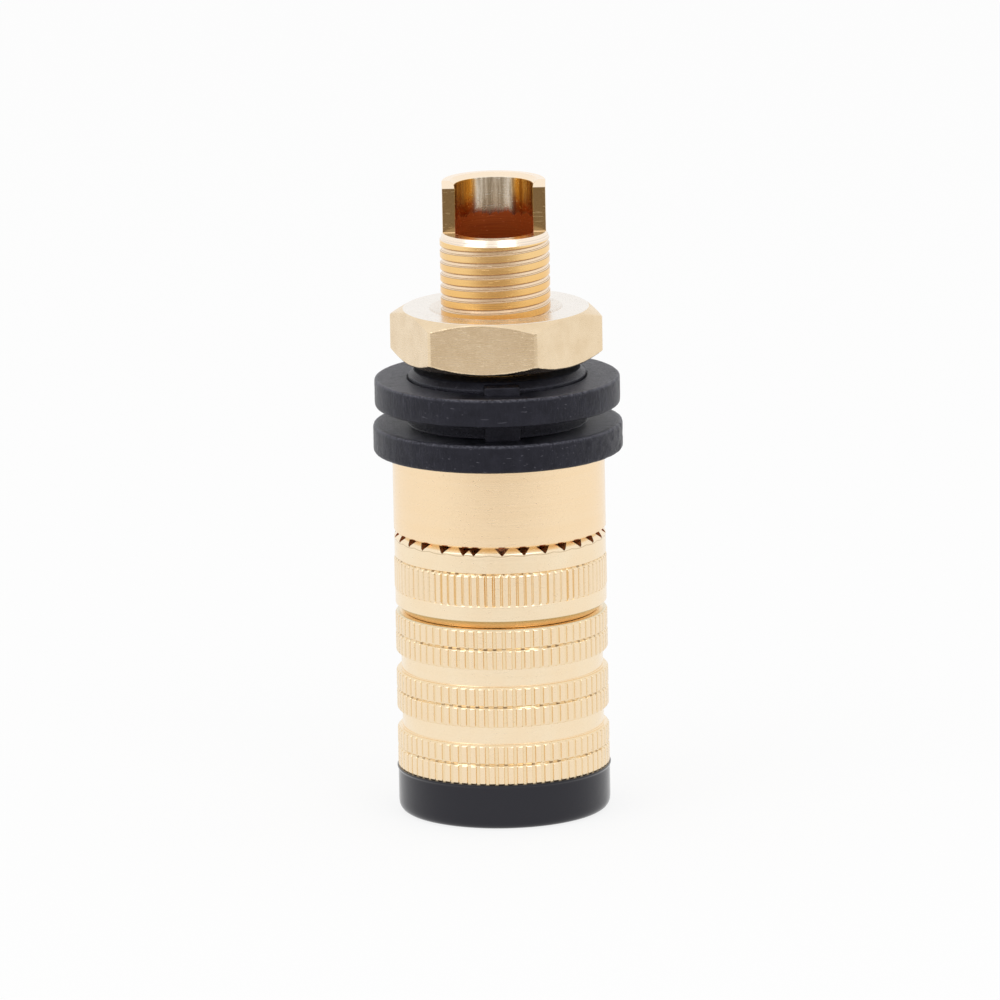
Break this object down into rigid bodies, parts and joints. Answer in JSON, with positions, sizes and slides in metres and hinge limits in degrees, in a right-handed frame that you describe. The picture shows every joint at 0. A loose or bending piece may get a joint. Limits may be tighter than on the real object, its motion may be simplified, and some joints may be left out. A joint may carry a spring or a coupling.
{
  "type": "binding post",
  "caption": "Turned panel binding post with a solder cup, threaded stud and hex nut, two keyed insulators, a serrated clamp ring and a knurled knob with an insulating cap.",
  "frame": {"origin": "centre of the end cap's outer face, on which the post stands", "axes": "+Z along the post, from the cap towards the solder cup; the open side of the cup and the key of the insulator face -Y"},
  "size_m": [0.0228, 0.0226, 0.0582],
  "materials": {
    "gold_plate": "polished gold plating over turned brass",
    "nut_brass": "bare milled brass",
    "black_nylon": "moulded, slightly rough",
    "cap_plastic": "glossy, moulded"
  },
  "bodies": {
    "terminal": {"terminal_post": "gold_plate", "front_bushing": "black_nylon"},
    "ring": {"clamp_ring": "gold_plate"},
    "knob_and_cap": {"knob": "gold_plate", "end_cap": "cap_plastic"},
    "washer": {"rear_washer": "black_nylon"},
    "nut": {"hex_nut": "nut_brass"}
  },
  "joints": [
    {"name": "ring_slide", "type": "slide", "parent": "terminal", "child": "ring", "axis": [0, 0, -1], "range_m": [0, 0.01876]},
    {"name": "knob_turn", "type": "hinge", "parent": "ring", "child": "knob_and_cap", "pos_m": [0, 0, 0], "axis": [0, 0, -1], "range_deg": [0, 5400]},
    {"name": "washer_slide", "type": "slide", "parent": "terminal", "child": "washer", "axis": [0, 0, 1], "range_m": [-0.00158, 0.00083]},
    {"name": "nut_slide", "type": "slide", "parent": "terminal", "child": "nut", "axis": [0, 0, 1], "range_m": [-0.00078, 0.017]}
  ],
  "couplings": [
    {"joint": "ring_slide", "follows": "knob_turn", "m_per_rad": 0.00019894}
  ]
}
